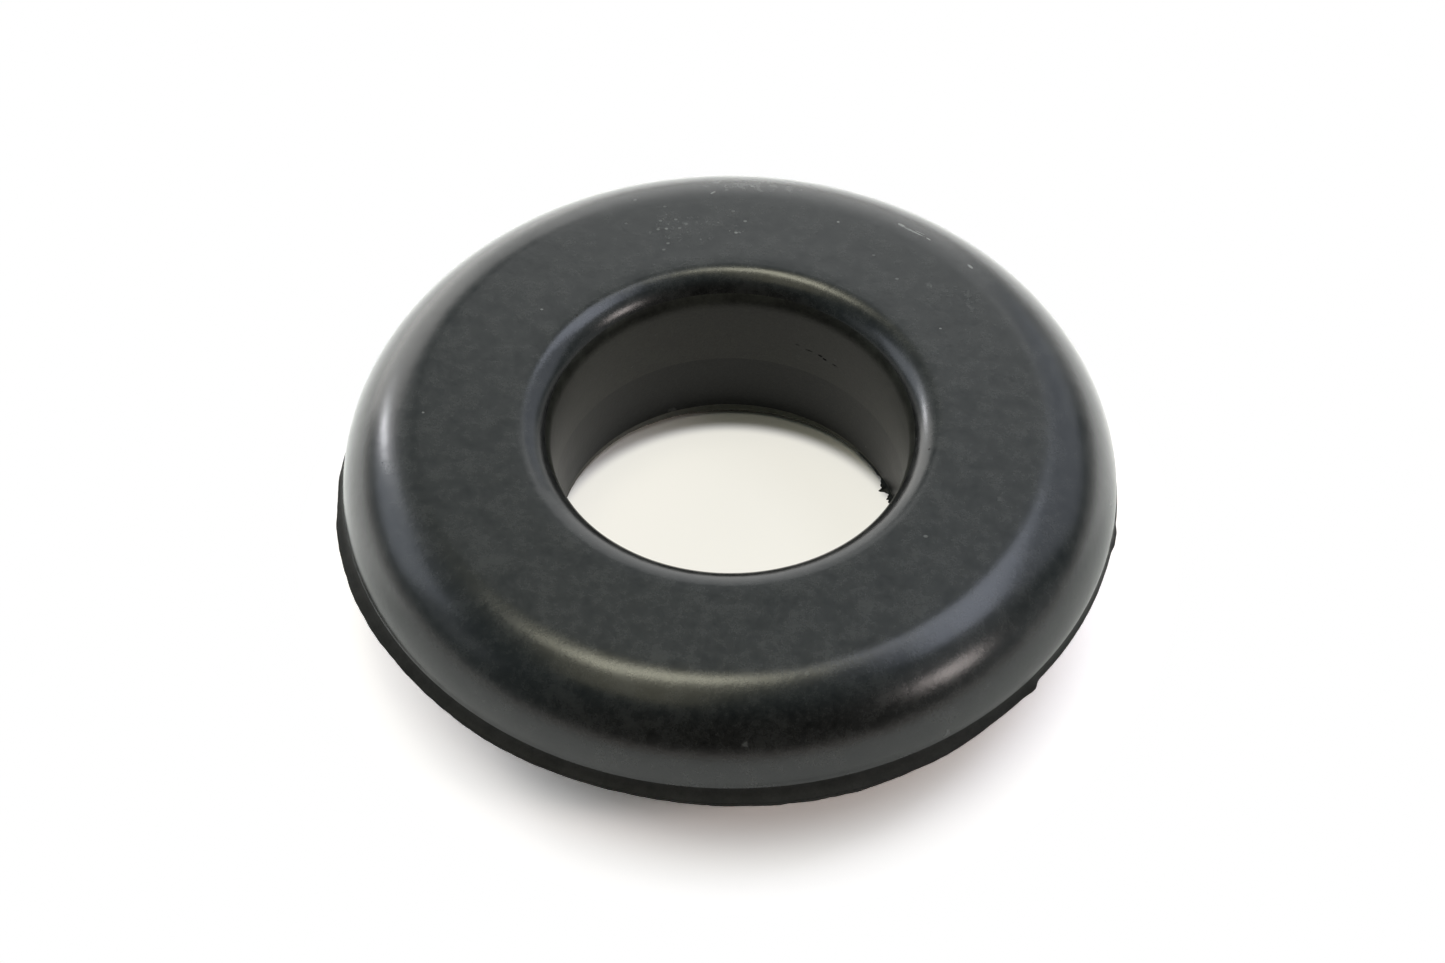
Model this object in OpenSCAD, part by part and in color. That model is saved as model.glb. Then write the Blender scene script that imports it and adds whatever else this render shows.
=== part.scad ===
// Rubber panel grommet, moulded in one piece.
// Millimetres, +Z up. The origin is on the axis, at the foot that the grommet stands on.
// Directions are degrees about +Z, counted from +X.

/* [Bore] */
// Diameter of the straight bore
bore_d = 16.9; // [12:0.1:18]
// Radius of the rounded mouth at the top of the bore
bore_mouth_r = 1.6; // [0.6:0.1:1.8]
// Radius of the small round at the foot of the bore
bore_foot_r = 0.4; // [0.2:0.1:0.8]

/* [Upper flange] */
// Diameter of the upper flange at the parting line
flange_d = 36.7; // [36:0.1:44]
// Height of the upper flange, from the face of the panel to its flat top
flange_h = 4.2; // [4:0.1:7]
// Radius of the round shoulder that runs from the flat top to the parting line
shoulder_r = 3.8; // [2.5:0.1:4.4]

/* [Flash lip] */
// Thickness of the flash lip, which is left of the mould's parting line
lip_t = 0.4; // [0.2:0.05:0.6]
// Width of the lip where it was trimmed off
lip_trim_w = 0.2; // [0.1:0.05:0.3]
// Width of the lip at its widest, where it was left on
lip_w = 0.8; // [0.4:0.05:1.2]
// Direction in which the untrimmed stretch of the lip starts
lip_from = 172; // [150:1:190]
// Direction of the notch in which the untrimmed stretch ends
lip_to = 318; // [290:1:340]

/* [Panel groove] */
// Diameter of the groove's floor, which is the hole in the panel
groove_d = 25.4; // [23:0.1:28]
// Width of the groove between its two faces
groove_w = 2; // [1:0.1:4]
// Radius of the two corners at the groove's floor
groove_corner_r = 0.3; // [0.1:0.05:0.45]

/* [Lower flange] */
// Diameter of the lower flange
tail_d = 30; // [29:0.1:33]
// Height of the lower flange
tail_h = 3; // [2.4:0.1:5]
// Height of the lower flange's straight rim, above the lead-in taper
tail_rim_h = 0.9; // [0.7:0.1:1.4]
// Diameter of the foot, at the end of the lead-in taper
foot_d = 25; // [22:0.1:27]
// Radius of the outer corners of the lower flange
tail_edge_r = 0.3; // [0.1:0.05:0.35]

/* [Hidden] */

rubber_colour = [0.16, 0.17, 0.17];
overlap = 0.01;
section_steps = 64;
revolve_steps = 144;

bore_r = bore_d / 2;
flange_r = flange_d / 2;
groove_r = groove_d / 2;
tail_r = tail_d / 2;
foot_r = foot_d / 2;

tail_taper_h = tail_h - tail_rim_h;
panel_z = tail_h + groove_w;
top_z = panel_z + flange_h;

// The untrimmed lip, as [place along its stretch, share of its full width].
// It starts from nothing, swells twice and is torn off short at the notch.
LIP_SHAPE = [
    [0, 0], [0.05, 0.15], [0.15, 0.55], [0.25, 0.68], [0.35, 0.55], [0.45, 0.62],
    [0.6, 0.72], [0.7, 0.85], [0.78, 1], [0.83, 0.9], [0.88, 0.62], [0.94, 0.36], [1, 0.3]
];
lip_stretch = lip_to - lip_from;
lip_steps = 48;
lip_root_w = 1;

// What a round of this radius takes off a square corner that stands at the origin.
// Added in a hollow corner, the same shape fills it with a fillet.
module corner_sliver(radius) {
    difference() {
        translate([-overlap, -overlap])
            square(radius + overlap);
        translate([radius, radius])
            circle(r = radius, $fn = section_steps);
    }
}

// Half section of the upper flange, without the flash lip.
module upper_flange_section() {
    difference() {
        translate([0, panel_z])
            square([flange_r, flange_h]);
        translate([flange_r, top_z])
            rotate(180)
                corner_sliver(shoulder_r);
    }
}

// Half section of the neck that fills the hole in the panel.
module neck_section() {
    translate([0, tail_h - overlap])
        square([groove_r, groove_w + 2 * overlap]);
    translate([groove_r, tail_h])
        corner_sliver(groove_corner_r);
    translate([groove_r, panel_z])
        mirror([0, 1])
            corner_sliver(groove_corner_r);
}

// Half section of the lower flange, with the taper that leads it into the hole.
module lower_flange_section() {
    difference() {
        polygon([
            [0, 0],
            [foot_r, 0],
            [tail_r, tail_taper_h],
            [tail_r, tail_h],
            [0, tail_h]
        ]);
        translate([tail_r, tail_h])
            rotate(180)
                corner_sliver(tail_edge_r);
    }
}

// Half section of the bore, with its rounded mouth and foot.
module bore_section() {
    translate([0, -overlap])
        square([bore_r, top_z + 2 * overlap]);
    translate([bore_r, top_z])
        mirror([0, 1])
            corner_sliver(bore_mouth_r);
    translate([bore_r, 0])
        corner_sliver(bore_foot_r);
}

// Width of the flash lip in one direction.
function lip_width(direction) =
    let (place = (direction - lip_from) / lip_stretch)
    lip_trim_w + (lip_w - lip_trim_w) * lookup(place, LIP_SHAPE);

// A point at the lip's outer edge.
function lip_point(direction) =
    (flange_r + lip_width(direction)) * [cos(direction), sin(direction)];

// The flash lip at the parting line: trimmed close all the way round,
// with the torn stretch standing out beyond it.
module flash_lip() {
    translate([0, 0, panel_z])
        difference() {
            union() {
                cylinder(r = flange_r + lip_trim_w, h = lip_t, $fn = revolve_steps);
                linear_extrude(height = lip_t)
                    polygon(concat(
                        [[0, 0]],
                        [for (i = [0 : lip_steps]) lip_point(lip_from + lip_stretch * i / lip_steps)]
                    ));
            }
            translate([0, 0, -overlap])
                cylinder(r = flange_r - lip_root_w, h = lip_t + 2 * overlap, $fn = revolve_steps);
        }
}

// The whole moulding.
module grommet_body() {
    color(rubber_colour)
        union() {
            rotate_extrude($fn = revolve_steps)
                difference() {
                    union() {
                        upper_flange_section();
                        neck_section();
                        lower_flange_section();
                    }
                    bore_section();
                }
            flash_lip();
        }
}

grommet_body();
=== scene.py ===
"""A moulded black rubber grommet lying on a pale table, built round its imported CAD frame.

The grommet is one moulding: a wide upper flange with a rounded shoulder, a neck that sits in a
round hole in sheet metal, and a lower flange that is pushed through that hole. A torn flash lip
runs round the upper flange's parting line, and a ragged web is left where the bore was punched.
"""

from __future__ import annotations

import logging
import math
from collections.abc import Sequence
from dataclasses import dataclass, field, replace
from enum import Enum

import bmesh
import bpy
from bpy.types import Material, Node, NodeSocket, NodeTree, Object
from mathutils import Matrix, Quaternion, Vector, noise


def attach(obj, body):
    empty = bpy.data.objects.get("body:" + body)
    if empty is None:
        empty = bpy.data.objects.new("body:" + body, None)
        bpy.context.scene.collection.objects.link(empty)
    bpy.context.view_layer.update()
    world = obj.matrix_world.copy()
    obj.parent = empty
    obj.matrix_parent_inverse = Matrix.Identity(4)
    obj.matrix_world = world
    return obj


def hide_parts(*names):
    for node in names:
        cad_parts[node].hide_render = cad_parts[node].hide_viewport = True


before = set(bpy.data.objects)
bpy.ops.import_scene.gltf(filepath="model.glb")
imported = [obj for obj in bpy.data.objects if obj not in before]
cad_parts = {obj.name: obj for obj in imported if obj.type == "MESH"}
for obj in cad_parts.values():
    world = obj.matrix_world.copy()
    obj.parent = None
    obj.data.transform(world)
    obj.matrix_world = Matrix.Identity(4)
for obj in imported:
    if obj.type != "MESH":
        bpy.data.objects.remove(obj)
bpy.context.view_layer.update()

LOG = logging.getLogger("grommet")
MM = 0.001
FULL_TURN = 2.0 * math.pi
UP = Vector((0.0, 0.0, 1.0))
ORIGIN = (0.0, 0.0, 0.0)
WHITE = (1.0, 1.0, 1.0)

# Sockets of a colour Mix node, whose names its other kinds share.
MIX_FIRST = 6
MIX_SECOND = 7
MIX_RESULT = 2

# Roughness, step in size and number of layers of the noises that shape the flash.
TORN_NOISE = (0.6, 2.2, 4)
WAVE_NOISE = (0.7, 2.0, 3)

Colour = tuple[float, float, float]
Size = tuple[float, float, float]
Pairs = Sequence[tuple[float, float]]
Sockets = dict[str, NodeSocket]


# ---- Small helpers ----


def radial(degrees: float) -> Vector:
    """Unit vector in the floor plane that points `degrees` counter-clockwise from +X."""
    angle = math.radians(degrees)
    return Vector((math.cos(angle), math.sin(angle), 0.0))


def bearing(azimuth: float, elevation: float) -> Vector:
    """Unit vector towards the sky, in degrees counter-clockwise from +X and above the horizon."""
    rise = math.radians(elevation)
    return radial(azimuth) * math.cos(rise) + UP * math.sin(rise)


def in_mm(length: float, width: float, depth: float) -> Size:
    """Three sizes given in millimetres, in the frame's metres."""
    return (length * MM, width * MM, depth * MM)


def smooth(value: float) -> float:
    """Smooth step of a share: 0 below 0, 1 above 1 and an even slope between them."""
    share = min(max(value, 0.0), 1.0)
    return share * share * (3.0 - 2.0 * share)


def between(degrees: float, places: Pairs) -> float:
    """Value at a direction, smoothly interpolated between named directions.

    Args:
        degrees: The direction.
        places: Pairs of direction and value, in rising order of direction.

    Returns:
        The value, held at the first and last pair outside them.
    """
    if degrees <= places[0][0]:
        return places[0][1]
    for (low, start), (high, stop) in zip(places, places[1:]):
        if degrees <= high:
            return start + (stop - start) * smooth((degrees - low) / (high - low))
    return places[-1][1]


def arc(centre: tuple[float, float], size: float, start: float, stop: float, steps: int) -> list[Vector]:
    """Points of a round stretch of a section, in the XZ plane.

    Args:
        centre: Distance from the axis and height of the arc's centre.
        size: Radius of the arc.
        start: Angle of the first point in degrees, 0 outwards and 90 up.
        stop: Angle of the last point.
        steps: Number of chords.

    Returns:
        The points, both ends included.
    """
    points = []
    for index in range(steps + 1):
        angle = math.radians(start + (stop - start) * index / steps)
        points.append(Vector((centre[0] + size * math.cos(angle), 0.0, centre[1] + size * math.sin(angle))))
    return points


def line(start: Vector, stop: Vector, steps: int) -> list[Vector]:
    """Points between two ends of a straight stretch, without the ends themselves."""
    return [start.lerp(stop, index / steps) for index in range(1, steps)]


def joined(stretches: Sequence[Sequence[Vector]], steps: Sequence[int]) -> list[Vector]:
    """Joins stretches of a section by straight runs.

    Args:
        stretches: The points of each stretch.
        steps: Number of chords in each run between two stretches.

    Returns:
        The section's points.
    """
    points = list(stretches[0])
    for stretch, count in zip(stretches[1:], steps):
        points += [*line(points[-1], stretch[0], count), *stretch]
    return points


def only(piece: Object) -> None:
    """Makes one object the only selected one, and the active one.

    Args:
        piece: The object.
    """
    bpy.ops.object.select_all(action="DESELECT")
    piece.select_set(True)
    bpy.context.view_layer.objects.active = piece


# ---- Shader building ----


class Board:
    """A node tree that is filled one node at a time."""

    def __init__(self, tree: NodeTree) -> None:
        """Empties the tree of a material, a world or a node group."""
        self.tree = tree
        self.tree.nodes.clear()

    def add(self, kind: str, **settings: object) -> Node:
        """Adds a node.

        Args:
            kind: Blender's name of the node type, without its ShaderNode prefix.
            **settings: Properties of the node.

        Returns:
            The new node.
        """
        prefix = "" if kind.startswith("NodeGroup") else "ShaderNode"
        node = self.tree.nodes.new(prefix + kind)
        for name, value in settings.items():
            setattr(node, name, value)
        return node

    def feed(self, socket: NodeSocket, value: object) -> None:
        """Links a socket to another, or sets it to a number, a vector or a colour.

        Args:
            socket: The input that is fed.
            value: The output socket or the value that it gets.
        """
        if isinstance(value, NodeSocket):
            self.tree.links.new(value, socket)
        elif isinstance(value, tuple) and len(value) == 3 and socket.type == "RGBA":
            socket.default_value = (*value, 1.0)
        else:
            socket.default_value = value

    def pair(self, kind: str, operation: str, first: object, second: object) -> Node:
        """Adds a node that works on two inputs.

        Args:
            kind: Its type, as for add.
            operation: Blender's name of the operation.
            first: The socket or value of the first input.
            second: The socket or value of the second input.

        Returns:
            The new node.
        """
        node = self.add(kind, operation=operation)
        self.feed(node.inputs[0], first)
        self.feed(node.inputs[1], second)
        return node

    def math(self, operation: str, first: object, second: object = 0.0) -> NodeSocket:
        """Adds a Math node and gives its result."""
        return self.pair("Math", operation, first, second).outputs[0]

    def vector(self, operation: str, first: object, second: object = ORIGIN) -> Node:
        """Adds a Vector Math node."""
        return self.pair("VectorMath", operation, first, second)

    def ramp(
        self, value: object, low: float, high: float, start: float = 0.0, stop: float = 1.0
    ) -> NodeSocket:
        """Smooth change from start to stop as a value goes from low to high.

        Args:
            value: The socket or number that is mapped.
            low: Value at which the result is start.
            high: Value at which the result is stop.
            start: Result at low.
            stop: Result at high.

        Returns:
            The result's socket.
        """
        node = self.add("MapRange", interpolation_type="SMOOTHSTEP")
        for socket, number in zip(node.inputs, (value, low, high, start, stop)):
            self.feed(socket, number)
        return node.outputs[0]

    def blend(self, share: object, first: object, second: object, mode: str = "MIX") -> NodeSocket:
        """Adds a colour Mix node.

        Args:
            share: The share of the second colour.
            first: The socket or value of the first colour.
            second: The socket or value of the second colour.
            mode: Blender's name of the way of mixing.

        Returns:
            The result's socket.
        """
        node = self.add("Mix", data_type="RGBA", blend_type=mode)
        self.feed(node.inputs[0], share)
        self.feed(node.inputs[MIX_FIRST], first)
        self.feed(node.inputs[MIX_SECOND], second)
        return node.outputs[MIX_RESULT]

    def noise(self, place: object, size: object, detail: float, roughness: float) -> NodeSocket:
        """Adds a noise and gives its value, about 0.5 on average.

        Args:
            place: The socket of the point that is looked up.
            size: Size of the broadest patches.
            detail: Number of finer layers on top.
            roughness: Strength of each finer layer next to the last.

        Returns:
            The noise's socket.
        """
        node = self.add("TexNoise", noise_dimensions="3D")
        self.feed(node.inputs["Vector"], place)
        self.feed(node.inputs["Scale"], self.math("DIVIDE", 1.0, size))
        node.inputs["Detail"].default_value = detail
        node.inputs["Roughness"].default_value = roughness
        return node.outputs[0]

    def group(self, tree: NodeTree, **values: object) -> Node:
        """Places a node group.

        Args:
            tree: The group's tree.
            **values: Input names, with spaces as underscores, and what feeds them.

        Returns:
            The group node.
        """
        node = self.add("Group", node_tree=tree)
        for name, value in values.items():
            self.feed(node.inputs[name.replace("_", " ")], value)
        return node


class Socket(Enum):
    """Kinds of socket that the shared effects take in and put out."""

    NUMBER = "NodeSocketFloat"
    VECTOR = "NodeSocketVector"


def effect_board(
    name: str, takes: dict[str, Socket], gives: dict[str, Socket]
) -> tuple[Board, Sockets, Sockets]:
    """Starts a node group that several finishes share.

    Args:
        name: Name of the group.
        takes: Names and kinds of its inputs.
        gives: Names and kinds of its outputs.

    Returns:
        The board, the group's inputs by name, and its output sockets by name.
    """
    tree = bpy.data.node_groups.new(name, "ShaderNodeTree")
    for label, kind in takes.items():
        tree.interface.new_socket(label, in_out="INPUT", socket_type=kind.value)
    for label, kind in gives.items():
        tree.interface.new_socket(label, in_out="OUTPUT", socket_type=kind.value)
    board = Board(tree)
    source = board.add("NodeGroupInput")
    sink = board.add("NodeGroupOutput")
    return board, {s.name: s for s in source.outputs if s.name}, {s.name: s for s in sink.inputs if s.name}


@dataclass
class SharedEffects:
    """The surface effects that every rubber finish uses, each built once as a node group."""

    grain: NodeTree = field(init=False)
    dust: NodeTree = field(init=False)
    patch: NodeTree = field(init=False)
    mark_core: float = 0.35
    warp_finer: float = 3.0
    warp_share: float = 0.5
    speck_least: float = 0.06
    speck_spread: float = 0.22
    grit_low: float = -0.05
    grit_high: float = 0.12

    def __post_init__(self) -> None:
        """Builds the groups."""
        self.grain = self._grain()
        self.dust = self._dust()
        self.patch = self._patch()

    def _grain(self) -> NodeTree:
        """Fine skin grain over broad, shallow waves, and a mottle for the colour.

        Returns:
            The group's tree.
        """
        board, take, give = effect_board(
            "rubber_grain",
            {
                "Place": Socket.VECTOR,
                "Grain Size": Socket.NUMBER,
                "Wave Size": Socket.NUMBER,
                "Wave Share": Socket.NUMBER,
            },
            {"Height": Socket.NUMBER, "Mottle": Socket.NUMBER},
        )
        fine = board.noise(take["Place"], take["Grain Size"], detail=3.0, roughness=0.6)
        wave = board.noise(take["Place"], take["Wave Size"], detail=1.0, roughness=0.4)
        mottle = board.noise(take["Place"], take["Wave Size"], detail=5.0, roughness=0.85)
        board.feed(give["Height"], board.math("ADD", fine, board.math("MULTIPLY", wave, take["Wave Share"])))
        board.feed(give["Mottle"], mottle)
        return board.tree

    def _dust(self) -> NodeTree:
        """Small pale specks of dust and bloom, more of them where Amount is high.

        Returns:
            The group's tree.
        """
        board, take, give = effect_board(
            "dust_specks",
            {"Place": Socket.VECTOR, "Speck Spacing": Socket.NUMBER, "Amount": Socket.NUMBER},
            {"Speck": Socket.NUMBER},
        )
        scale = board.math("DIVIDE", 1.0, take["Speck Spacing"])
        cells = board.add("TexVoronoi", voronoi_dimensions="3D", feature="F1")
        warp = board.add("TexNoise", noise_dimensions="3D")
        board.feed(warp.inputs["Vector"], take["Place"])
        board.feed(warp.inputs["Scale"], board.math("MULTIPLY", scale, self.warp_finer))
        shifted = board.vector("SCALE", warp.outputs["Color"])
        shift = board.math("MULTIPLY", take["Speck Spacing"], self.warp_share)
        board.feed(shifted.inputs["Scale"], shift)
        place = board.vector("ADD", take["Place"], shifted.outputs[0])
        board.feed(cells.inputs["Vector"], place.outputs[0])
        board.feed(cells.inputs["Scale"], scale)
        lottery = board.add("SeparateColor")
        board.feed(lottery.inputs[0], cells.outputs["Color"])
        chosen = board.math("LESS_THAN", lottery.outputs[0], take["Amount"])
        reach = board.math("MULTIPLY_ADD", lottery.outputs[1], self.speck_spread)
        reach.node.inputs[2].default_value = self.speck_least
        inside = board.math("DIVIDE", cells.outputs["Distance"], reach)
        dot = board.ramp(inside, 1.0, self.mark_core)
        strength = board.math("MULTIPLY", dot, board.math("MULTIPLY", chosen, lottery.outputs[2]))
        board.feed(give["Speck"], strength)
        return board.tree

    def _patch(self) -> NodeTree:
        """A soft round mark of unit size, broken up by noise.

        Returns:
            The group's tree.
        """
        board, take, give = effect_board(
            "scuff_patch",
            {
                "Place": Socket.VECTOR,
                "Grit": Socket.VECTOR,
                "Grit Size": Socket.NUMBER,
                "Cover": Socket.NUMBER,
            },
            {"Mark": Socket.NUMBER},
        )
        reach = board.vector("LENGTH", take["Place"]).outputs["Value"]
        inside = board.ramp(reach, 1.0, self.mark_core)
        grit = board.noise(take["Grit"], take["Grit Size"], detail=2.0, roughness=0.5)
        edge = board.math("SUBTRACT", 1.0, board.math("MULTIPLY", inside, take["Cover"]))
        broken = board.ramp(board.math("SUBTRACT", grit, edge), self.grit_low, self.grit_high)
        board.feed(give["Mark"], board.math("MULTIPLY", broken, inside))
        return board.tree


# ---- Finishes ----


@dataclass(frozen=True)
class Scuff:
    """A rubbed, dusty or torn mark, inside an ellipsoid that is turned about the vertical.

    Its size is half the ellipsoid's length, width and depth. Its grit is the size of the
    crumbs that it breaks up into, and its cover is the share of the ellipsoid that they fill.
    """

    place: Vector
    size: Size
    turn: float = 0.0
    grit: float = 0.16 * MM
    cover: float = 0.62
    strength: float = 0.3


@dataclass(frozen=True)
class RubberFinish:
    """Moulded black rubber."""

    name: str
    colour: Colour
    mottled: Colour
    roughness: float
    grain_size: float = 0.16 * MM
    grain_depth: float = 0.003 * MM
    wave_size: float = 1.1 * MM
    wave_share: float = 1.5
    dust_amount: float = 0.04
    speck_strength: float = 0.12
    dust_colour: Colour = (0.40, 0.41, 0.39)
    specular: float = 0.5
    scuffs: tuple[Scuff, ...] = ()
    tears: tuple[Scuff, ...] = ()
    # Colour of the pits and slits: the pits are real, and their darkness is painted shade inside them.
    torn_painted_shade: Colour = (0.001, 0.001, 0.001)
    torn_depth: float = 0.05 * MM
    speck_spacing: float = 0.9 * MM
    mottle_low: float = 0.3
    mottle_high: float = 0.7
    rough_low: float = 0.93
    rough_high: float = 1.07
    worn_rougher: float = 0.5

    def make(self, effects: SharedEffects) -> Material:
        """Builds the material.

        Args:
            effects: The shared node groups.

        Returns:
            The finished material.
        """
        material = bpy.data.materials.new(self.name)
        material.use_nodes = True
        board = Board(material.node_tree)
        place = board.add("TexCoord").outputs["Object"]
        grain = board.group(
            effects.grain,
            Place=place,
            Grain_Size=self.grain_size,
            Wave_Size=self.wave_size,
            Wave_Share=self.wave_share,
        )
        stray = board.group(
            effects.dust, Place=place, Speck_Spacing=self.speck_spacing, Amount=self.dust_amount
        )
        specks = board.math("MULTIPLY", stray.outputs["Speck"], self.speck_strength)
        marks = self.marks(board, effects, place, self.scuffs, specks)
        torn = self.marks(board, effects, place, self.tears, None)
        mottle = board.ramp(grain.outputs["Mottle"], self.mottle_low, self.mottle_high)
        surface = board.add("BsdfPrincipled")
        colour = board.blend(mottle, self.colour, self.mottled)
        colour = board.blend(marks, colour, self.dust_colour)
        if torn is not None:
            colour = board.blend(torn, colour, self.torn_painted_shade)
        board.feed(surface.inputs["Base Color"], colour)
        rough = board.ramp(
            grain.outputs["Mottle"],
            self.mottle_low,
            self.mottle_high,
            self.rough_low * self.roughness,
            self.rough_high * self.roughness,
        )
        wear_and_painted_light = marks if torn is None else board.math("ADD", marks, torn)
        rougher = board.math("MULTIPLY", wear_and_painted_light, self.worn_rougher)
        board.feed(surface.inputs["Roughness"], board.math("ADD", rough, rougher))
        surface.inputs["Specular IOR Level"].default_value = self.specular
        bump = board.add("Bump")
        bump.inputs["Distance"].default_value = self.grain_depth
        height = grain.outputs["Height"]
        if torn is not None:
            depth = board.math("MULTIPLY", torn, self.torn_depth / self.grain_depth)
            height = board.math("SUBTRACT", height, depth)
        board.feed(bump.inputs["Height"], height)
        board.feed(surface.inputs["Normal"], bump.outputs[0])
        output = board.add("OutputMaterial")
        board.feed(output.inputs["Surface"], surface.outputs[0])
        return material

    @staticmethod
    def marks(
        board: Board,
        effects: SharedEffects,
        place: NodeSocket,
        scuffs: tuple[Scuff, ...],
        start: NodeSocket | None,
    ) -> NodeSocket | None:
        """Adds marks, each at its own place.

        Args:
            board: The material's board.
            effects: The shared node groups.
            place: The socket of the point on the piece.
            scuffs: The marks.
            start: The socket of the marks that are there already, if there are any.

        Returns:
            The strength of the marks at each point, or the start where there are none.
        """
        marks = start
        for scuff in scuffs:
            mapping = board.add("Mapping", vector_type="TEXTURE")
            mapping.inputs["Location"].default_value = scuff.place
            mapping.inputs["Rotation"].default_value = (0.0, 0.0, math.radians(scuff.turn))
            mapping.inputs["Scale"].default_value = scuff.size
            board.feed(mapping.inputs["Vector"], place)
            patch = board.group(
                effects.patch, Place=mapping.outputs[0], Grit=place, Grit_Size=scuff.grit, Cover=scuff.cover
            )
            mark = board.math("MULTIPLY", patch.outputs["Mark"], scuff.strength)
            marks = mark if marks is None else board.math("MAXIMUM", marks, mark)
        return marks


# ---- The moulding ----


@dataclass
class FlashRing:
    """A thin torn flash that runs round the moulding, built as a ring of its own and then merged.

    `root` is the radius that it grows from, `low` and `high` its heights there, `tip` is its
    thickness at the thin end, and `outward` is 1 for flash on the outside and -1 for flash
    inside the bore. `skirt` holds pairs of reach and fall down its upper side, as shares.
    """

    name: str
    root: float
    low: float
    high: float
    tip: float
    outward: float
    widths: Pairs
    ragged: Pairs
    ragged_size: float
    lift: float = 0.03 * MM
    unit: float = 0.4 * MM
    skirt: Pairs = (
        (0.0, 0.0), (0.02, 0.16), (0.07, 0.33), (0.18, 0.53), (0.36, 0.72), (0.62, 0.87), (0.85, 0.95),
    )
    nose_steps: int = 4
    torn_share: float = 1.2
    torn_least: float = 0.03 * MM
    least_width: float = 0.01 * MM
    wave_breadth: float = 2.0

    def section(self) -> list[Vector]:
        """Draws the section down the skirt from the upper root, round the tip and back.

        Returns:
            Its points.
        """
        drop = self.high - self.low - self.tip
        upper = [self._point(reach, self.high - fall * drop) for reach, fall in self.skirt]
        half_tip = 0.5 * self.tip
        end = self._point(1.0, self.low + half_tip)
        nose = [
            end + half_tip * Vector((self.outward * (turn.x - 1.0), 0.0, turn.z))
            for turn in arc((0.0, 0.0), 1.0, 90.0, -90.0, self.nose_steps)
        ]
        return [*upper, *nose, self._point(0.5, self.low), self._point(0.0, self.low)]

    def _point(self, reach: float, height: float) -> Vector:
        """A point of the section, a share of one unit away from the root."""
        return Vector((self.root + self.outward * reach * self.unit, 0.0, height))

    def width(self, azimuth: float) -> float:
        """Width of the flash in one direction, with its torn edge.

        Args:
            azimuth: The direction from the axis, in degrees.

        Returns:
            The width.
        """
        even = between(azimuth, self.widths)
        spot = radial(azimuth) * (self.root / self.ragged_size)
        torn = noise.fractal(spot, *TORN_NOISE) * between(azimuth, self.ragged)
        return max(even * (1.0 + self.torn_share * torn) + self.torn_least * torn, self.least_width)

    def tear(self, ring: Object, turns: int) -> None:
        """Gives each direction of the ring its own width and lift.

        Args:
            ring: The spun ring.
            turns: Number of directions in it.
        """
        only(ring)
        bpy.ops.object.mode_set(mode="EDIT")
        mesh = bmesh.from_edit_mesh(ring.data)
        columns: list[list[bmesh.types.BMVert]] = [[] for _ in range(turns)]
        for vert in mesh.verts:
            azimuth = math.atan2(vert.co.y, vert.co.x) / FULL_TURN * turns
            columns[round(azimuth) % turns].append(vert)
        bpy.ops.mesh.select_all(action="DESELECT")
        for step, column in enumerate(columns):
            azimuth = 360.0 * step / turns
            for vert in column:
                vert.select = True
            stretch = self.width(azimuth) / self.unit
            root = radial(azimuth) * self.root
            bpy.ops.transform.resize(value=(stretch, stretch, 1.0), center_override=root)
            for vert in column:
                away = abs(vert.co.xy.length - self.root)
                vert.select = away > 0.5 * stretch * self.unit
            spot = radial(azimuth) * (self.root / (self.wave_breadth * self.ragged_size))
            wave = noise.fractal(spot, *WAVE_NOISE)
            bpy.ops.transform.translate(value=(0.0, 0.0, self.lift * wave))
            for vert in column:
                vert.select = False
        bpy.ops.object.mode_set(mode="OBJECT")


class Finish(Enum):
    """The moulding's finishes, numbered as its material slots."""

    SKIN = 0
    BORE = 1
    BORE_FOOT = 2
    TORN = 3
    FOOT_EDGE = 4


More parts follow.
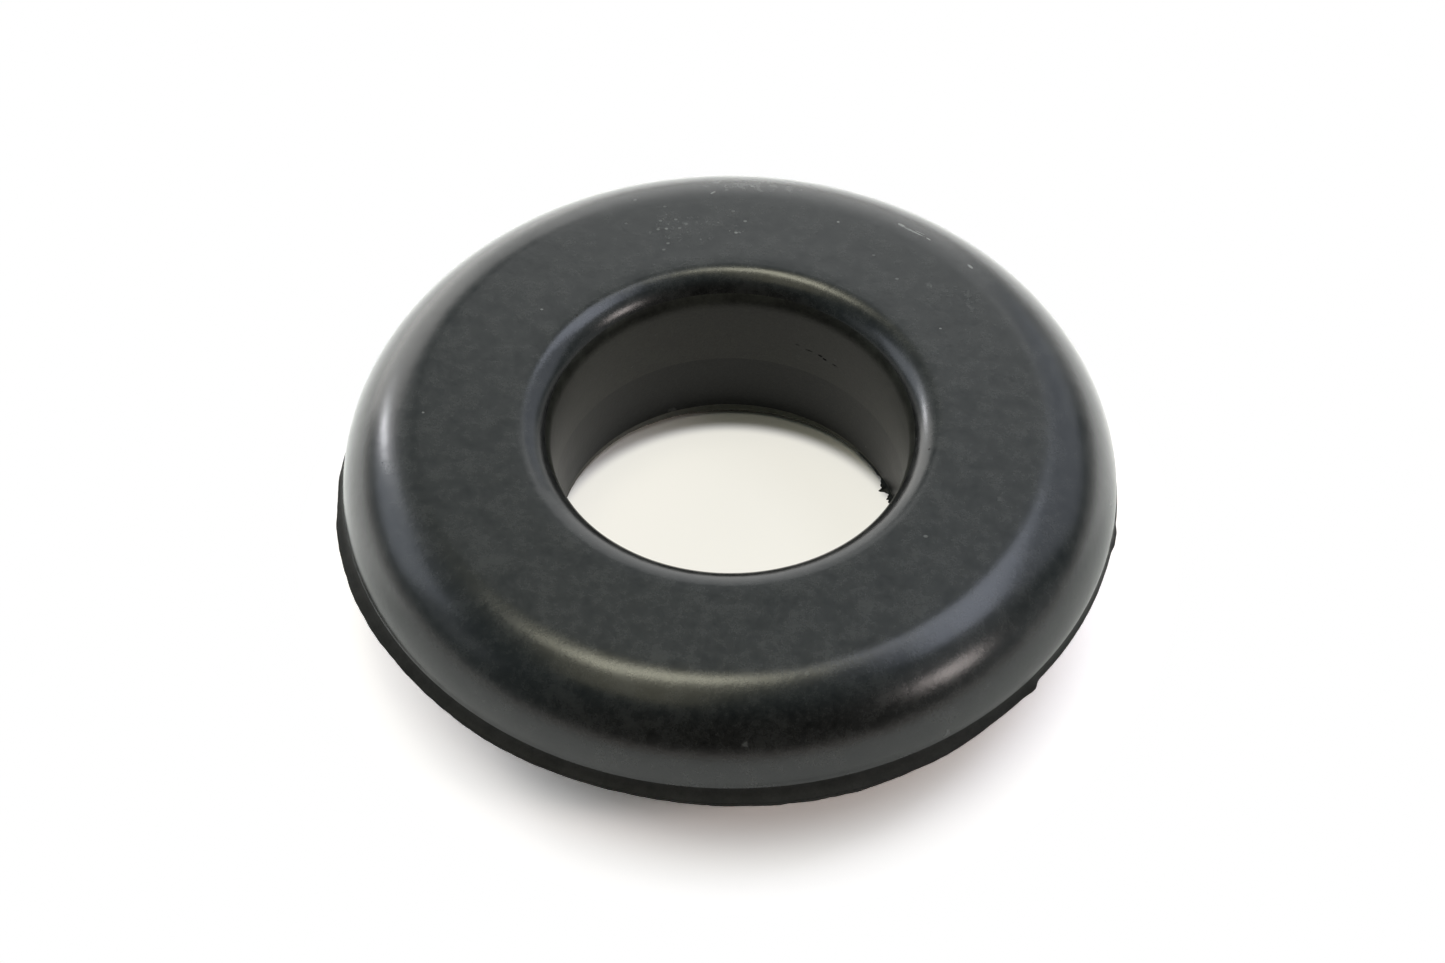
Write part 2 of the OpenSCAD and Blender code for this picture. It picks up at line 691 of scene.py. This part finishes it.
@dataclass
class GrommetBody:
    """The whole grommet: flanges, neck, bore and the flash left by the mould."""

    total_height: float = 9.2 * MM
    bore_radius: float = 8.45 * MM
    mouth_round: float = 1.6 * MM
    flange_radius: float = 18.42 * MM
    shoulder_round: float = 3.87 * MM
    lip_height: float = 0.80 * MM
    lip_cove: float = 0.20 * MM
    lip_tip: float = 0.13 * MM
    groove_radius: float = 12.7 * MM
    groove_bottom: float = 3.0 * MM
    groove_top: float = 5.0 * MM
    groove_round: float = 0.3 * MM
    tail_radius: float = 15.0 * MM
    tail_rim: float = 0.9 * MM
    foot_radius: float = 12.5 * MM
    core_split: float = 4.0 * MM
    core_draft: float = 0.06 * MM
    mouth_dull: float = 35.0
    web_low: float = 0.32 * MM
    web_high: float = 0.52 * MM
    web_tip: float = 0.08 * MM
    web_ragged: Pairs = (
        (0.0, 0.6), (26.0, 0.6), (34.0, 0.12), (350.0, 0.12), (360.0, 0.6),
    )
    # Directions in which the bore's web gets the pale foot finish, painted light on its shaded foot ring.
    foot_painted_light_arc: tuple[float, float] = (40.0, 160.0)
    waist_share: float = 0.4
    web_start: float = 0.01 * MM
    lip_start: float = 0.005 * MM
    weld: float = 0.001 * MM
    seam_weld: float = 0.002 * MM
    crease: float = 38.0
    turns: int = 640
    mouth_steps: int = 14
    shoulder_steps: int = 32
    flat_steps: int = 8
    taper_steps: int = 6
    wall_steps: int = 5
    corner_steps: int = 3
    name: str = "rubber_moulding"

    @property
    def lip_angle(self) -> float:
        """Degrees up the shoulder's arc at which the flash lip begins."""
        rise = self.groove_top + self.lip_height - (self.total_height - self.shoulder_round)
        return math.degrees(math.asin(rise / self.shoulder_round))

    @property
    def lip_root(self) -> float:
        """Radius that the flash lip grows from, at the foot of the flange's wall."""
        return self.flange_radius - self.shoulder_round * (1.0 - math.cos(math.radians(self.lip_angle)))

    def lip(self) -> FlashRing:
        """Plans the flash lip round the parting line, long at the front left and trimmed elsewhere.

        Returns:
            The ring. Its widths are written in mm.
        """
        widths = (
            (0.0, 0.10), (60.0, 0.06), (120.0, 0.05), (171.0, 0.05), (183.0, 0.31), (195.0, 0.53),
            (206.0, 0.57), (222.0, 0.50), (237.0, 0.58), (250.0, 0.54), (284.0, 0.70), (298.0, 0.56),
            (312.0, 0.32), (315.5, 0.28), (317.5, 0.36), (319.5, 0.13), (345.0, 0.11), (347.0, 0.20),
            (349.0, 0.20), (351.0, 0.10), (360.0, 0.10),
        )
        return FlashRing(
            name="flash_lip",
            root=self.lip_root,
            low=self.groove_top,
            high=self.groove_top + self.lip_height,
            tip=self.lip_tip,
            outward=1.0,
            widths=[(direction, width * MM) for direction, width in widths],
            ragged=((0.0, 0.05),),
            ragged_size=1.3 * MM,
        )

    def web(self) -> FlashRing:
        """Plans the ragged web left at the bore's foot, longest at the right.

        Returns:
            The ring. Its widths are written in mm.
        """
        widths = (
            (0.0, 0.05), (10.0, 0.08), (13.0, 0.22), (16.0, 0.34), (18.5, 0.20), (21.5, 0.36), (24.0, 0.24),
            (26.5, 0.07), (48.0, 0.06), (70.0, 0.20), (90.0, 0.24), (110.0, 0.20), (135.0, 0.05),
            (170.0, 0.03), (360.0, 0.05),
        )
        return FlashRing(
            name="punch_web",
            root=self.bore_radius,
            low=self.web_low,
            high=self.web_high,
            tip=self.web_tip,
            outward=-1.0,
            widths=[(direction, width * MM) for direction, width in widths],
            ragged=self.web_ragged,
            ragged_size=0.3 * MM,
        )

    def upper_section(self) -> list[Vector]:
        """Draws the section up the bore from its web, over the mouth and the top to the lip.

        Returns:
            Its points.
        """
        top = self.total_height
        web_top = Vector((self.bore_radius, 0.0, self.web_high))
        split = Vector((self.bore_radius, 0.0, self.core_split))
        waist_height = (1.0 - self.waist_share) * self.web_high + self.waist_share * self.core_split
        waist = Vector((self.bore_radius + self.core_draft * 0.5, 0.0, waist_height))
        mouth_centre = (self.bore_radius + self.mouth_round, top - self.mouth_round)
        mouth = arc(mouth_centre, self.mouth_round, 180.0, 90.0, self.mouth_steps)
        shoulder_centre = (self.flange_radius - self.shoulder_round, top - self.shoulder_round)
        shoulder = arc(shoulder_centre, self.shoulder_round, 90.0, self.lip_angle, self.shoulder_steps)
        steps = (self.wall_steps, self.wall_steps, self.flat_steps, self.flat_steps)
        return joined(([web_top], [waist], [split], mouth, shoulder), steps)

    def lower_section(self) -> list[Vector]:
        """Draws the section from under the lip, round neck and lower flange, to the bore's web.

        Returns:
            Its points.
        """
        under_root = Vector((self.lip_root, 0.0, self.groove_top))
        inner = self.groove_radius + self.groove_round
        top_centre = (inner, self.groove_top - self.groove_round)
        foot_centre = (inner, self.groove_bottom + self.groove_round)
        corner = self.corner_steps
        neck_top = arc(top_centre, self.groove_round, 90.0, 180.0, corner)
        neck_foot = arc(foot_centre, self.groove_round, 180.0, 270.0, corner)
        rim_top = Vector((self.tail_radius, 0.0, self.groove_bottom))
        rim_foot = Vector((self.tail_radius, 0.0, self.groove_bottom - self.tail_rim))
        foot_edge = Vector((self.foot_radius, 0.0, 0.0))
        bore_centre = (self.bore_radius + self.web_low, self.web_low)
        bore_foot = arc(bore_centre, self.web_low, 270.0, 180.0, self.wall_steps)
        steps = (self.wall_steps, corner, corner, corner, self.taper_steps, self.wall_steps)
        stretches = ([under_root], neck_top, neck_foot, [rim_top], [rim_foot], [foot_edge], bore_foot)
        return joined(stretches, steps)

    def spin(self, name: str, points: list[Vector]) -> Object:
        """Draws a section by extruding one vertex and spins it a full turn about Z.

        A quarter turn is spun, and copies of it make the rest.

        Args:
            name: Name of the new object.
            points: The section's points.

        Returns:
            The spun object, with its doubles merged.
        """
        bpy.ops.object.select_all(action="DESELECT")
        bpy.ops.mesh.primitive_plane_add(size=MM, location=ORIGIN)
        piece = bpy.context.active_object
        piece.name = name
        piece.data.name = name
        bpy.ops.object.mode_set(mode="EDIT")
        bpy.ops.mesh.select_mode(type="VERT")
        bpy.ops.mesh.select_all(action="SELECT")
        bpy.ops.mesh.merge(type="CENTER")
        bpy.ops.transform.translate(value=points[0])
        for here, point in zip(points, points[1:]):
            bpy.ops.mesh.extrude_region_move(TRANSFORM_OT_translate={"value": point - here})
        bpy.ops.mesh.select_all(action="SELECT")
        quarter = FULL_TURN / 4.0
        bpy.ops.mesh.spin(steps=self.turns // 4, angle=quarter, center=ORIGIN, axis=(0.0, 0.0, 1.0))
        for angle in (quarter, 2.0 * quarter):
            bpy.ops.mesh.select_all(action="SELECT")
            bpy.ops.mesh.duplicate()
            bpy.ops.transform.rotate(value=angle, orient_axis="Z", center_override=ORIGIN)
            bpy.ops.mesh.select_all(action="SELECT")
            bpy.ops.mesh.remove_doubles(threshold=self.weld)
        bpy.ops.object.mode_set(mode="OBJECT")
        return piece

    def build(self) -> Object:
        """Models the moulding.

        Returns:
            The finished object.
        """
        upper = self.spin(self.name, self.upper_section())
        lower = self.spin("underside", self.lower_section())
        rings = []
        for flash in (self.lip(), self.web()):
            ring = self.spin(flash.name, flash.section())
            flash.tear(ring, self.turns)
            rings.append(ring)
        only(upper)
        for part in (lower, *rings):
            part.select_set(True)
        bpy.ops.object.join()
        bpy.ops.object.mode_set(mode="EDIT")
        bpy.ops.mesh.select_all(action="SELECT")
        bpy.ops.mesh.remove_doubles(threshold=self.seam_weld)
        bpy.ops.mesh.normals_make_consistent(inside=False)
        bpy.ops.object.mode_set(mode="OBJECT")
        bpy.ops.object.shade_smooth_by_angle(angle=math.radians(self.crease))
        return upper

    def finishes(self) -> tuple[RubberFinish, ...]:
        """Describes the finishes of the skin, the bore, the torn flash and the foot, whose pale colour is
        painted light.

        Returns:
            The finishes, in the order of Finish.
        """
        skin = RubberFinish(
            name="black_rubber_skin",
            colour=(0.0040, 0.0043, 0.0043),
            mottled=(0.0214, 0.0216, 0.0206),
            roughness=0.24,
            grain_size=0.20 * MM,
            grain_depth=0.004 * MM,
            wave_size=1.3 * MM,
            wave_share=2.4,
            scuffs=self.scuffs(),
            tears=self.pinholes(),
        )
        bore = RubberFinish(
            name="black_rubber_bore",
            colour=(0.0035, 0.0038, 0.0022),
            mottled=(0.0245, 0.0254, 0.0198),
            roughness=0.42,
            specular=0.29,
            grain_depth=0.008 * MM,
            scuffs=self.bore_specks(),
            tears=self.tears(),
        )
        # A darker, less glossy copy of the bore's finish, for the bore below the core's split.
        bore_foot = replace(
            bore,
            name="black_rubber_bore_foot",
            colour=(0.0028, 0.0034, 0.0032),
            mottled=(0.0147, 0.0162, 0.0154),
            specular=0.23,
            tears=(),
        )
        torn = RubberFinish(
            name="black_rubber_torn",
            colour=(0.0210, 0.0206, 0.0194),
            mottled=(0.0320, 0.0312, 0.0292),
            roughness=0.5,
            specular=0.05,
            grain_depth=0.012 * MM,
            dust_amount=0.0,
        )
        # Painted light: the bore's shaded foot ring gets a colour far paler than the rubber, so that it
        # shows lit.
        foot_edge = replace(
            torn,
            name="black_rubber_foot_edge_painted_light",
            colour=(0.0860, 0.0840, 0.0700),
            mottled=(0.1230, 0.1190, 0.0980),
            specular=0.3,
            grain_depth=0.008 * MM,
        )
        return (skin, bore, bore_foot, torn, foot_edge)

    def dress(self, body: Object, effects: SharedEffects) -> None:
        """Gives the moulding its finishes.

        Args:
            body: The moulding.
            effects: The shared node groups.
        """
        for finish in self.finishes():
            body.data.materials.append(finish.make(effects))
        for face in body.data.polygons:
            face.material_index = self.finish_at(face.center).value

    def finish_at(self, place: Vector) -> Finish:
        """Chooses the finish at a place.

        Args:
            place: Centre of a face.

        Returns:
            The finish.
        """
        reach = place.xy.length
        steep = self.mouth_round * (1.0 - math.cos(math.radians(self.mouth_dull)))
        low = place.z < self.groove_top + self.lip_height - self.lip_cove
        azimuth = math.degrees(math.atan2(place.y, place.x))
        if reach < self.bore_radius - self.web_start:
            # Painted light: in these directions the web gets the pale foot finish.
            wear_and_painted_light = self.foot_painted_light_arc[0] < azimuth < self.foot_painted_light_arc[1]
            return Finish.FOOT_EDGE if wear_and_painted_light else Finish.BORE_FOOT
        if low and reach > self.lip_root + self.lip_start:
            return Finish.TORN
        if reach > self.bore_radius + max(steep, self.core_draft):
            return Finish.SKIN
        # Painted light: the bore's wall below the web's top gets the pale foot finish too.
        if place.z < self.web_high:
            return Finish.FOOT_EDGE
        return Finish.BORE if place.z > self.core_split else Finish.BORE_FOOT

    def on_top(self, x: float, y: float, size: Size, **settings: float) -> Scuff:
        """A mark on the flat top, with its place and size in mm."""
        return Scuff(Vector((x * MM, y * MM, self.total_height)), in_mm(*size), **settings)

    def in_bore(self, azimuth: float, height: float, size: Size, **settings: float) -> Scuff:
        """A mark on the bore's wall, with its height and size in mm and its length round the bore."""
        place = radial(azimuth) * self.bore_radius + UP * (height * MM)
        return Scuff(place, in_mm(*size), turn=azimuth + 90.0, **settings)

    def scuffs(self) -> tuple[Scuff, ...]:
        """Places the dust and the rubs on the flat top and its rounded edges.

        Returns:
            The marks.
        """
        speck = (0.11, 0.08, 0.4)
        crumb = (0.16, 0.12, 0.4)
        grain = (0.14, 0.10, 0.5)
        crumbs = (
            (-3.5, 12.9, 0.15), (-3.2, 12.35, 0.28), (-3.6, 12.3, 0.20), (-2.75, 13.0, 0.18),
            (-2.55, 12.4, 0.15), (-5.2, 12.7, 0.09), (-3.1, 11.35, 0.18), (-3.3, 10.9, 0.16),
            (0.7, 12.9, 0.24), (0.25, 12.1, 0.32), (0.1, 13.6, 0.12), (1.05, 15.5, 0.32),
            (3.6, 15.6, 0.50), (-4.8, 14.4, 0.18), (-3.3, 13.9, 0.12), (7.0, 10.6, 0.12), (8.1, 9.0, 0.16),
        )
        streaks = (
            (8.97, 12.33, (1.1, 0.09, 0.6), -34.0, 0.85, 0.4),
            (8.45, 12.75, (0.35, 0.12, 0.6), -34.0, 0.9, 0.5),
            (9.35, 12.25, (0.5, 0.05, 0.6), -30.0, 0.8, 0.3),
            (9.75, 11.80, (0.22, 0.08, 0.6), -40.0, 0.9, 0.5),
            (11.73, 9.93, (0.3, 0.13, 0.9), -50.0, 0.9, 0.4),
        )
        specks = (
            (5.31, 12.88, speck, 0.45), (10.08, 5.72, speck, 0.30), (8.89, -7.10, crumb, 0.16),
            (-9.12, 6.85, speck, 0.25), (-14.40, 0.20, speck, 0.25),
        )
        return (
            *(self.on_top(x, y, grain, cover=1.0, strength=white) for x, y, white in crumbs),
            self.on_top(-2.3, 12.4, (3.8, 2.3, 0.6), turn=-6.0, grit=0.34 * MM, cover=0.37, strength=0.12),
            self.on_top(-3.3, 12.4, (0.9, 1.0, 0.6), grit=0.22 * MM, cover=0.41, strength=0.14),
            self.on_top(0.28, 12.3, (0.9, 0.8, 0.6), grit=0.18 * MM, cover=0.42, strength=0.12),
            self.on_top(1.8, 15.8, (6.5, 1.6, 1.8), grit=0.40 * MM, cover=0.50, strength=0.09),
            *(
                self.on_top(x, y, size, turn=turn, cover=cover, strength=white)
                for x, y, size, turn, cover, white in streaks
            ),
            self.on_top(11.3, 7.5, (2.2, 1.4, 0.6), turn=-60.0, grit=0.3 * MM, cover=0.42, strength=0.05),
            *(self.on_top(x, y, size, cover=1.0, strength=white) for x, y, size, white in specks),
            self.on_top(-0.92, 14.91, (0.24, 0.09, 0.6), cover=0.9, strength=0.4, turn=35.0),
        )

    def pinholes(self) -> tuple[Scuff, ...]:
        """Places the small pits in the skin, darkened with painted shade.

        Returns:
            The marks.
        """
        pit = (0.09, 0.09, 0.3)
        places = ((15.75, 5.30), (-13.51, 9.60), (-7.41, 6.46), (9.25, -1.80))
        return tuple(self.on_top(x, y, pit, cover=1.0, strength=1.0) for x, y in places)

    def bore_specks(self) -> tuple[Scuff, ...]:
        """Places the pale specks on the bore's wall.

        Returns:
            The marks.
        """
        dot = (0.10, 0.3, 0.08)
        return (
            self.in_bore(125.0, 5.0, dot, cover=1.0, strength=0.10),
            self.in_bore(25.3, 4.0, dot, cover=1.0, strength=0.08),
            self.in_bore(36.7, 1.2, dot, cover=1.0, strength=0.16),
            self.in_bore(18.0, 2.4, (0.9, 0.3, 1.2), grit=0.14 * MM, cover=0.50, strength=0.05),
        )

    def tears(self) -> tuple[Scuff, ...]:
        """Places the short tears that the core left across the bore's wall, darkened with painted shade.

        Returns:
            The marks.
        """
        slit = (0.18, 0.4, 0.09)
        return (
            self.in_bore(62.6, 5.62, (0.3, 0.4, 0.06), cover=0.9, strength=0.8),
            self.in_bore(58.4, 5.58, slit, cover=1.0, strength=1.0),
            self.in_bore(56.6, 5.48, slit, cover=1.0, strength=1.0),
            self.in_bore(52.6, 5.42, (0.2, 0.4, 0.06), cover=1.0, strength=0.9),
            self.in_bore(67.0, 5.75, (0.16, 0.4, 0.05), cover=0.9, strength=0.5),
            self.in_bore(36.0, 3.4, (0.07, 0.3, 0.06), cover=1.0, strength=0.9),
        )


# ---- Studio ----


@dataclass(frozen=True)
class Softbox:
    """A soft area lamp that faces the grommet from a point of the sky.

    Its width and height are the angles that it fills, and its glow is its brightness
    next to a white of 1.
    """

    name: str
    azimuth: float
    elevation: float
    width: float
    height: float
    glow: float
    tint: Colour
    distance: float = 0.6

    def hang(self) -> None:
        """Adds the lamp and aims it at the grommet."""
        data = bpy.data.lights.new(self.name, "AREA")
        data.shape = "RECTANGLE"
        data.size = 2.0 * self.distance * math.tan(math.radians(self.width) / 2.0)
        data.size_y = 2.0 * self.distance * math.tan(math.radians(self.height) / 2.0)
        data.energy = self.glow * math.pi * data.size * data.size_y
        data.color = self.tint
        lamp = bpy.data.objects.new(self.name, data)
        bpy.context.scene.collection.objects.link(lamp)
        toward = bearing(self.azimuth, self.elevation)
        lamp.location = toward * self.distance
        lamp.rotation_mode = "QUATERNION"
        lamp.rotation_quaternion = toward.to_track_quat("Z", "Y")
        lamp.visible_camera = False


@dataclass
class Studio:
    """Pale table with painted light and shade on it, white surroundings and soft lamps."""

    table_half: float = 1.5
    table_colour: Colour = (0.83, 0.825, 0.82)
    # Painted light: the camera sees the table in this colour, over 1, which lightens the part's shadow on
    # it.
    table_shown_painted_light: Colour = (2.22, 2.02, 1.93)
    # Painted reflection: in glossy rays the table shows in these colours, over 1 and brighter towards the
    # back, which lightens the part's rims and walls.
    table_mirrored_painted_light: Colour = (1.30, 1.30, 1.27)
    mirrored_far_painted_light: Colour = (2.02, 1.98, 1.94)
    mirrored_toward: Vector = field(default_factory=lambda: radial(97.0))
    mirrored_from: float = -4.0 * MM
    mirrored_to: float = 7.0 * MM
    # Painted glow: for the camera the table fades to white emission between these radii round this centre,
    # which fades the part's shadow out.
    white_centre: Vector = field(default_factory=lambda: Vector((0.35 * MM, 0.1 * MM, 0.0)))
    white_from: float = 15.7 * MM
    white_to: float = 21.7 * MM
    # Painted light and shade under the part: within the first radius the table shows in a warm colour of its
    # own, and round the second centre a tinted glow lightens the shadow in the bore.
    hole_shown_painted_light: Colour = (1.0, 0.93, 0.86)
    hole_edge: float = 11.0 * MM
    hole_centre: Vector = field(default_factory=lambda: Vector((0.0, -2.0 * MM, 0.0)))
    hole_painted_glow: Colour = (1.01, 0.99, 0.91)
    hole_from: float = 8.9 * MM
    hole_to: float = 9.8 * MM
    hole_painted_glow_share: float = 0.74
    room_colour: Colour = (0.18, 0.24, 0.25)
    dark_colour: Colour = (0.02, 0.015, 0.01)
    dark_toward: Vector = field(default_factory=lambda: bearing(275.0, 11.0))
    room_from: float = 0.25
    room_to: float = 0.92
    low_colour: Colour = (1.10, 1.02, 0.96)
    low_below: float = 14.0
    lamps: tuple[Softbox, ...] = (
        Softbox("warm_overhead", 115.0, 74.5, 18.0, 9.5, 10.2, (1.0, 0.98, 0.78)),
        Softbox("cool_right", 38.0, 61.5, 33.0, 16.0, 4.4, (0.80, 0.85, 1.0)),
        Softbox("window", 137.5, 24.0, 3.8, 8.0, 31.0, (0.95, 0.96, 1.0)),
        Softbox("pink_side", 333.5, 34.5, 11.0, 13.0, 11.5, (1.0, 0.90, 0.87)),
        Softbox("back_wall", 86.0, 19.5, 30.0, 26.0, 2.0, (1.0, 0.99, 0.98)),
        Softbox("back_top", 85.5, 39.5, 22.0, 13.5, 1.68, WHITE),
        Softbox("left_wall", 156.0, 31.0, 36.0, 25.0, 2.0, (0.84, 0.89, 1.0)),
        Softbox("upper_wall", 84.0, 48.5, 34.0, 14.0, 0.36, (0.95, 1.0, 1.0)),
        Softbox("left_fill", 131.0, 44.0, 28.0, 14.0, 0.50, (0.96, 0.99, 1.0)),
        Softbox("right_fill", 350.0, 50.0, 30.0, 20.0, 0.40, (0.98, 0.98, 1.0)),
        Softbox("ceiling", 157.0, 80.5, 47.0, 22.0, 1.08, (1.0, 0.92, 0.64)),
        Softbox("right_wall", 42.0, 35.0, 43.0, 28.0, 1.10, (0.82, 0.86, 1.0)),
        Softbox("window_wall", 126.0, 15.0, 25.0, 40.0, 2.65, (1.0, 0.98, 0.95)),
        Softbox("corner_wall", 107.5, 13.0, 12.0, 36.0, 1.75, (1.0, 0.99, 0.97)),
        Softbox("left_low", 190.0, 29.0, 20.0, 16.0, 0.50, (0.92, 0.94, 1.0)),
        Softbox("right_low", 353.0, 18.0, 26.0, 14.0, 0.24, (1.0, 0.98, 1.0)),
        Softbox("right_corner", 59.0, 12.0, 24.0, 22.0, 0.60, WHITE),
    )

    def build(self) -> Object:
        """Adds the table, the surroundings and the lamps.

        Returns:
            The table.
        """
        for lamp in self.lamps:
            lamp.hang()
        self.surroundings()
        return self.table()

    def surroundings(self) -> None:
        """Lights the grommet evenly, dimmer from the front, against plain white."""
        world = bpy.data.worlds.new("studio")
        bpy.context.scene.world = world
        world.use_nodes = True
        board = Board(world.node_tree)
        toward = board.add("TexCoord").outputs["Generated"]
        facing = board.vector("DOT_PRODUCT", toward, self.dark_toward).outputs["Value"]
        dark = board.ramp(facing, self.room_from, self.room_to)
        room = board.blend(dark, self.room_colour, self.dark_colour)
        height = board.add("SeparateXYZ")
        board.feed(height.inputs[0], toward)
        low = board.ramp(height.outputs["Z"], 0.0, math.sin(math.radians(self.low_below)), 1.0, 0.0)
        glow = board.add("Background")
        board.feed(glow.inputs["Color"], board.blend(low, room, self.low_colour, "ADD"))
        path = board.add("LightPath")
        white = board.add("Background")
        board.feed(white.inputs["Color"], WHITE)
        choice = board.add("MixShader")
        board.feed(choice.inputs[0], path.outputs["Is Camera Ray"])
        board.feed(choice.inputs[1], glow.outputs[0])
        board.feed(choice.inputs[2], white.outputs[0])
        output = board.add("OutputWorld")
        board.feed(output.inputs["Surface"], choice.outputs[0])

    def table(self) -> Object:
        """Adds the pale table, which fades to plain white away from the grommet, with painted light and
        shade on it.

        Returns:
            The table.
        """
        bpy.ops.object.select_all(action="DESELECT")
        bpy.ops.mesh.primitive_plane_add(size=2.0 * self.table_half, location=ORIGIN)
        table = bpy.context.active_object
        table.name = "table"
        material = bpy.data.materials.new("pale_table_painted_light")
        material.use_nodes = True
        board = Board(material.node_tree)
        place = board.add("TexCoord").outputs["Object"]
        reach = board.vector("LENGTH", place).outputs["Value"]
        path = board.add("LightPath")
        seen, mirrored = path.outputs["Is Camera Ray"], path.outputs["Is Glossy Ray"]
        from_white = board.vector("DISTANCE", place, self.white_centre).outputs["Value"]
        from_hole = board.vector("DISTANCE", place, self.hole_centre).outputs["Value"]
        hole = board.ramp(from_hole, self.hole_to, self.hole_from)
        inside = board.math("LESS_THAN", reach, self.hole_edge)
        # Painted glow that fades the shadow out, seen by the camera only.
        painted_glow_share = board.math("MULTIPLY", board.ramp(from_white, self.white_from, self.white_to), seen)
        # Painted glow in the bore, seen by the camera and in reflections.
        shown = board.math("MULTIPLY", board.math("ADD", seen, mirrored), self.hole_painted_glow_share)
        painted_hole_share = board.math("MULTIPLY", hole, shown)
        # Painted reflection: glossy rays see the table brighter than white, more towards the back.
        along = board.vector("DOT_PRODUCT", place, self.mirrored_toward).outputs["Value"]
        back = board.ramp(along, self.mirrored_from, self.mirrored_to)
        painted_reflection_colour = board.blend(back, self.table_mirrored_painted_light, self.mirrored_far_painted_light)
        painted_reflection_colour = board.blend(inside, painted_reflection_colour, self.hole_shown_painted_light)
        # Painted light: the camera sees the table in a colour over 1, which lightens its shadow.
        plain = board.blend(inside, self.table_shown_painted_light, self.hole_shown_painted_light)
        colour = board.blend(seen, board.blend(mirrored, self.table_colour, painted_reflection_colour), plain)
        matt = board.add("BsdfDiffuse")
        board.feed(matt.inputs["Color"], colour)
        # The painted glow is emission: white, and tinted under the bore.
        white = board.add("Emission")
        board.feed(white.inputs["Color"], board.blend(hole, WHITE, self.hole_painted_glow))
        choice = board.add("MixShader")
        board.feed(choice.inputs[0], board.math("ADD", painted_glow_share, painted_hole_share))
        board.feed(choice.inputs[1], matt.outputs[0])
        board.feed(choice.inputs[2], white.outputs[0])
        output = board.add("OutputMaterial")
        board.feed(output.inputs["Surface"], choice.outputs[0])
        table.data.materials.append(material)
        return table


@dataclass
class PictureCamera:
    """The camera, placed in the grommet's own frame."""

    place: Vector = field(default_factory=lambda: Vector((0.0, -92.754, 115.54)) * MM)
    target: Vector = field(default_factory=lambda: Vector((-0.3483, -0.4201, 5.0)) * MM)
    picture_width: int = 1445
    focal_pixels: float = 3012.0
    sensor: float = 36.0
    roll: float = 0.12
    nearest: float = 10.0 * MM
    farthest: float = 10.0

    def build(self) -> None:
        """Adds the camera and makes it the scene's."""
        data = bpy.data.cameras.new("picture_camera")
        data.sensor_width = self.sensor
        data.lens = self.sensor * self.focal_pixels / self.picture_width
        data.clip_start = self.nearest
        data.clip_end = self.farthest
        camera = bpy.data.objects.new("picture_camera", data)
        bpy.context.scene.collection.objects.link(camera)
        camera.location = self.place
        camera.rotation_mode = "QUATERNION"
        aim = (self.target - self.place).to_track_quat("-Z", "Y")
        camera.rotation_quaternion = aim @ Quaternion((0.0, 0.0, 1.0), math.radians(self.roll))
        bpy.context.scene.camera = camera


def main() -> None:
    """Builds the camera, the studio and the grommet, in that order."""
    logging.basicConfig(level=logging.INFO, format="%(name)s: %(message)s")
    bpy.context.scene.view_settings.view_transform = "Standard"
    PictureCamera().build()
    LOG.info("camera placed")
    Studio().build()
    LOG.info("studio lit")
    grommet = GrommetBody()
    body = grommet.build()
    grommet.dress(body, SharedEffects())
    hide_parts("grommet_body")
    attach(body, "root")
    LOG.info("%s built with %d faces", body.name, len(body.data.polygons))


if __name__ == "__main__":
    main()
